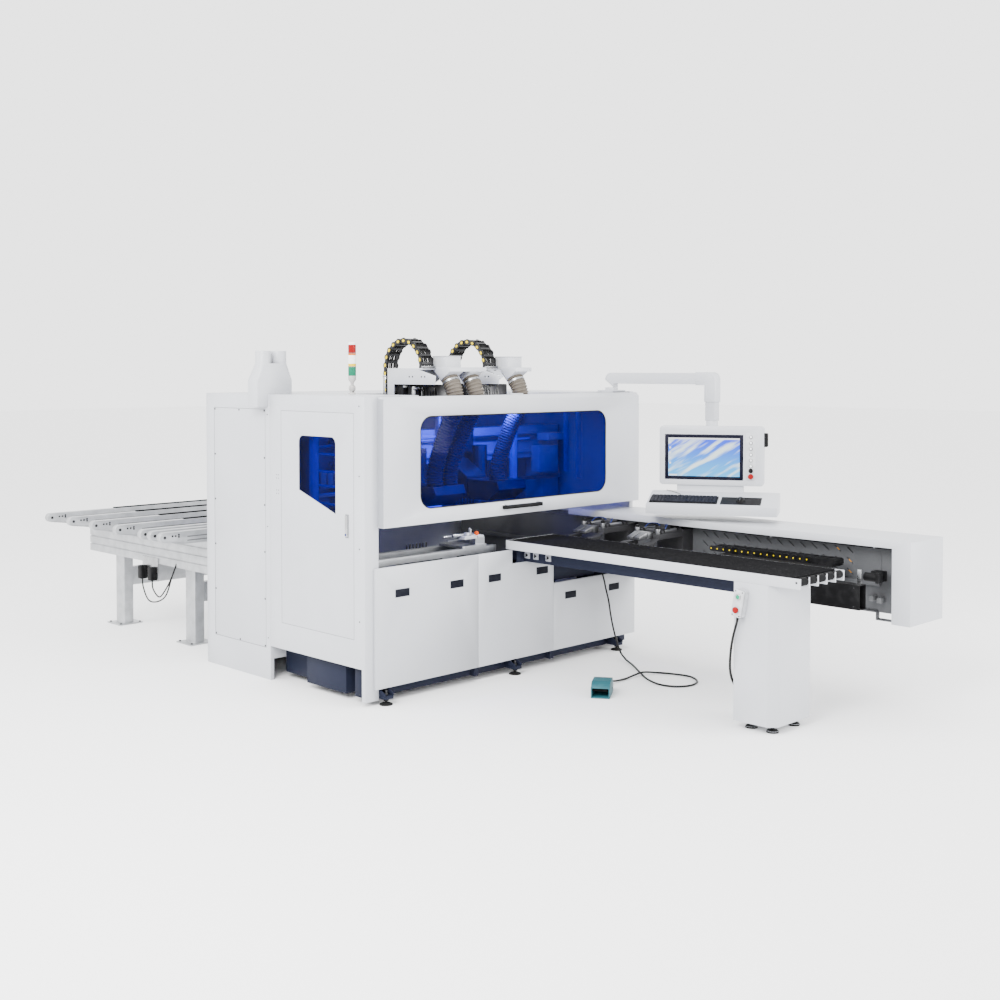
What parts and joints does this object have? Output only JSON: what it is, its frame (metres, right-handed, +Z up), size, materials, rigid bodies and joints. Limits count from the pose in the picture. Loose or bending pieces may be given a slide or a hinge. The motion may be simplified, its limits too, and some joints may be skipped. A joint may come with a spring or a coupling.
{
  "type": "six sided drilling machine",
  "caption": "Enclosed through-feed drilling machine for flat furniture panels, with a feed table, gripper beam, hanging operator console, foot pedal and belt-arm outfeed.",
  "frame": {"origin": "the middle of the machine's footprint on the floor, measured without the pedal's cord", "axes": "+Z up, +Y from the feed table through the machine to the outfeed, +X to the console side"},
  "size_m": [3.0988, 6.785, 2.4501],
  "materials": {
    "white_paint": "textured powder coat, light grey-white",
    "navy_paint": "dark blue-grey paint on welded steel",
    "black_plastic": "black matte plastic",
    "machined_aluminium": "machined or anodised aluminium",
    "grey_paint": "grey paint and ground steel",
    "brushed_steel": "ground steel",
    "blue_clear": "blue tinted clear sheet",
    "hose_plastic": "ribbed beige suction hose",
    "lamp_plastic": "coloured lamp bands on a silver body",
    "white_plastic": "light grey moulded plastic",
    "green_plastic": "green button",
    "red_plastic": "red mushroom button",
    "teal_plastic": "teal cast pedal guard",
    "foot_rubber": "levelling foot",
    "cord_rubber": "black cable sheath"
  },
  "bodies": {
    "machine": {"base_frame": "navy_paint", "foot_front_left": "foot_rubber", "foot_front_middle": "foot_rubber", "foot_front_right": "foot_rubber", "side_wall_left": "white_paint", "rear_shell": "white_paint", "roof_panel": "white_paint", "electrical_cabinet": "white_paint", "cabinet_cover": "white_paint", "front_panel_left": "white_paint", "front_panel_middle": "white_paint", "front_panel_right": "white_paint", "table_edge": "white_paint", "table_top": "black_plastic", "table_leg": "white_paint", "gripper_beam": "grey_paint", "beam_cover": "white_paint", "beam_cable_tray": "black_plastic", "support_rails": "machined_aluminium", "gantry_beam": "white_paint", "dust_port": "white_paint", "tower_stand": "grey_paint", "console_post": "white_paint", "control_box": "white_plastic", "pedal_housing": "teal_plastic", "pedal_cord": "cord_rubber", "outfeed_frame": "machined_aluminium"},
    "hood": {"front_hood": "white_paint", "hood_window": "blue_clear", "hood_handle": "black_plastic"},
    "door": {"side_door": "white_paint", "side_door_window": "blue_clear"},
    "latch": {"door_latch": "brushed_steel"},
    "rollers": {"end_rollers": "black_plastic"},
    "gripper_front": {"gripper_front": "grey_paint"},
    "jaw_front": {"gripper_jaw_front": "brushed_steel"},
    "gripper_rear": {"gripper_rear": "grey_paint"},
    "jaw_rear": {"gripper_jaw_rear": "brushed_steel"},
    "pusher": {"side_pusher": "machined_aluminium"},
    "saddle_left": {"head_saddle_left": "machined_aluminium", "energy_chain_left": "black_plastic", "dust_manifold_left": "white_paint", "dust_hoses_left": "hose_plastic"},
    "head_left": {"drill_head_left": "grey_paint"},
    "spindle_left": {"spindle_left": "brushed_steel"},
    "saddle_right": {"head_saddle_right": "machined_aluminium", "energy_chain_right": "black_plastic", "dust_manifold_right": "white_paint", "dust_hose_right": "hose_plastic"},
    "head_right": {"drill_head_right": "grey_paint"},
    "spindle_right": {"spindle_right": "brushed_steel"},
    "lower_head": {"lower_drill_head": "grey_paint"},
    "lamps": {"lamp_stack": "lamp_plastic"},
    "arm": {"console_arm": "white_paint"},
    "console": {"console_housing": "white_paint"},
    "console_stop": {"console_stop_button": "red_plastic"},
    "start_button": {"start_button": "green_plastic"},
    "stop_button": {"stop_button": "red_plastic"},
    "tread": {"pedal_tread": "black_plastic"},
    "belt_shaft": {"outfeed_shaft": "brushed_steel"}
  },
  "joints": [
    {"name": "hood_hinge", "type": "hinge", "parent": "machine", "child": "hood", "pos_m": [0.10852, -0.7628, 2.039], "axis": [-1, 0, 0], "range_deg": [0, 28]},
    {"name": "door_hinge", "type": "hinge", "parent": "machine", "child": "door", "pos_m": [-1.32149, 0.1675, 1.183], "axis": [0, 0, -1], "range_deg": [0, 110]},
    {"name": "latch_lever", "type": "hinge", "parent": "door", "child": "latch", "pos_m": [-1.32178, -0.5765, 1.11], "axis": [0, -1, 0], "range_deg": [0, 40]},
    {"name": "end_roller_spin", "type": "hinge", "parent": "machine", "child": "rollers", "pos_m": [0.25601, -3.1785, 0.955], "axis": [1, 0, 0], "continuous": true},
    {"name": "gripper_front_y", "type": "slide", "parent": "machine", "child": "gripper_front", "axis": [0, 1, 0], "range_m": [-1.5, 0.1]},
    {"name": "jaw_front_clamp", "type": "slide", "parent": "gripper_front", "child": "jaw_front", "axis": [0, 0, -1], "range_m": [0, 0.018]},
    {"name": "gripper_rear_y", "type": "slide", "parent": "machine", "child": "gripper_rear", "axis": [0, 1, 0], "range_m": [-0.1, 1.2]},
    {"name": "jaw_rear_clamp", "type": "slide", "parent": "gripper_rear", "child": "jaw_rear", "axis": [0, 0, -1], "range_m": [0, 0.018]},
    {"name": "side_pusher_x", "type": "slide", "parent": "machine", "child": "pusher", "axis": [1, 0, 0], "range_m": [-0.75, 0.06]},
    {"name": "head_left_x", "type": "slide", "parent": "machine", "child": "saddle_left", "axis": [1, 0, 0], "range_m": [-0.15, 0.05]},
    {"name": "head_left_z", "type": "slide", "parent": "saddle_left", "child": "head_left", "axis": [0, 0, 1], "range_m": [-0.12, 0], "deforming": ["dust_hoses_left", "energy_chain_left"]},
    {"name": "spindle_left_spin", "type": "hinge", "parent": "head_left", "child": "spindle_left", "pos_m": [-0.36349, -0.2025, 1.22], "axis": [0, 0, 1], "continuous": true},
    {"name": "head_right_x", "type": "slide", "parent": "machine", "child": "saddle_right", "axis": [1, 0, 0], "range_m": [-0.05, 0.4]},
    {"name": "head_right_z", "type": "slide", "parent": "saddle_right", "child": "head_right", "axis": [0, 0, 1], "range_m": [-0.12, 0], "deforming": ["dust_hose_right", "energy_chain_right"]},
    {"name": "spindle_right_spin", "type": "hinge", "parent": "head_right", "child": "spindle_right", "pos_m": [0.25751, -0.2025, 1.22], "axis": [0, 0, 1], "continuous": true},
    {"name": "lower_head_x", "type": "slide", "parent": "machine", "child": "lower_head", "axis": [1, 0, 0], "range_m": [-0.3, 0.3]},
    {"name": "light_tower_fold", "type": "hinge", "parent": "machine", "child": "lamps", "pos_m": [-0.90148, -0.1025, 2.082], "axis": [-1, 0, 0], "range_deg": [0, 90]},
    {"name": "console_arm_swing", "type": "hinge", "parent": "machine", "child": "arm", "pos_m": [1.27852, -0.6625, 2.078], "axis": [0, 0, 1], "range_deg": [0, 60]},
    {"name": "console_swivel", "type": "hinge", "parent": "arm", "child": "console", "pos_m": [1.27852, -1.6425, 1.839], "axis": [0, 0, 1], "range_deg": [0, 60]},
    {"name": "console_stop_press", "type": "slide", "parent": "console", "child": "console_stop", "axis": [0.8721, 0.4894, 0], "range_m": [0, 0.004], "stiffness_N_per_m": 600},
    {"name": "start_press", "type": "slide", "parent": "machine", "child": "start_button", "axis": [1, 0, 0], "range_m": [0, 0.005], "stiffness_N_per_m": 600},
    {"name": "stop_press", "type": "slide", "parent": "machine", "child": "stop_button", "axis": [1, 0, 0], "range_m": [0, 0.005], "stiffness_N_per_m": 600},
    {"name": "pedal_press", "type": "hinge", "parent": "machine", "child": "tread", "pos_m": [0.10818, -1.5872, 0.034], "axis": [0.5597, -0.8287, 0], "range_deg": [0, 11], "stiffness_Nm_per_rad": 4, "springref_deg": -20.05},
    {"name": "belt_shaft_spin", "type": "hinge", "parent": "machine", "child": "belt_shaft", "pos_m": [-0.91148, 2.2375, 0.812], "axis": [0, 1, 0], "continuous": true}
  ]
}
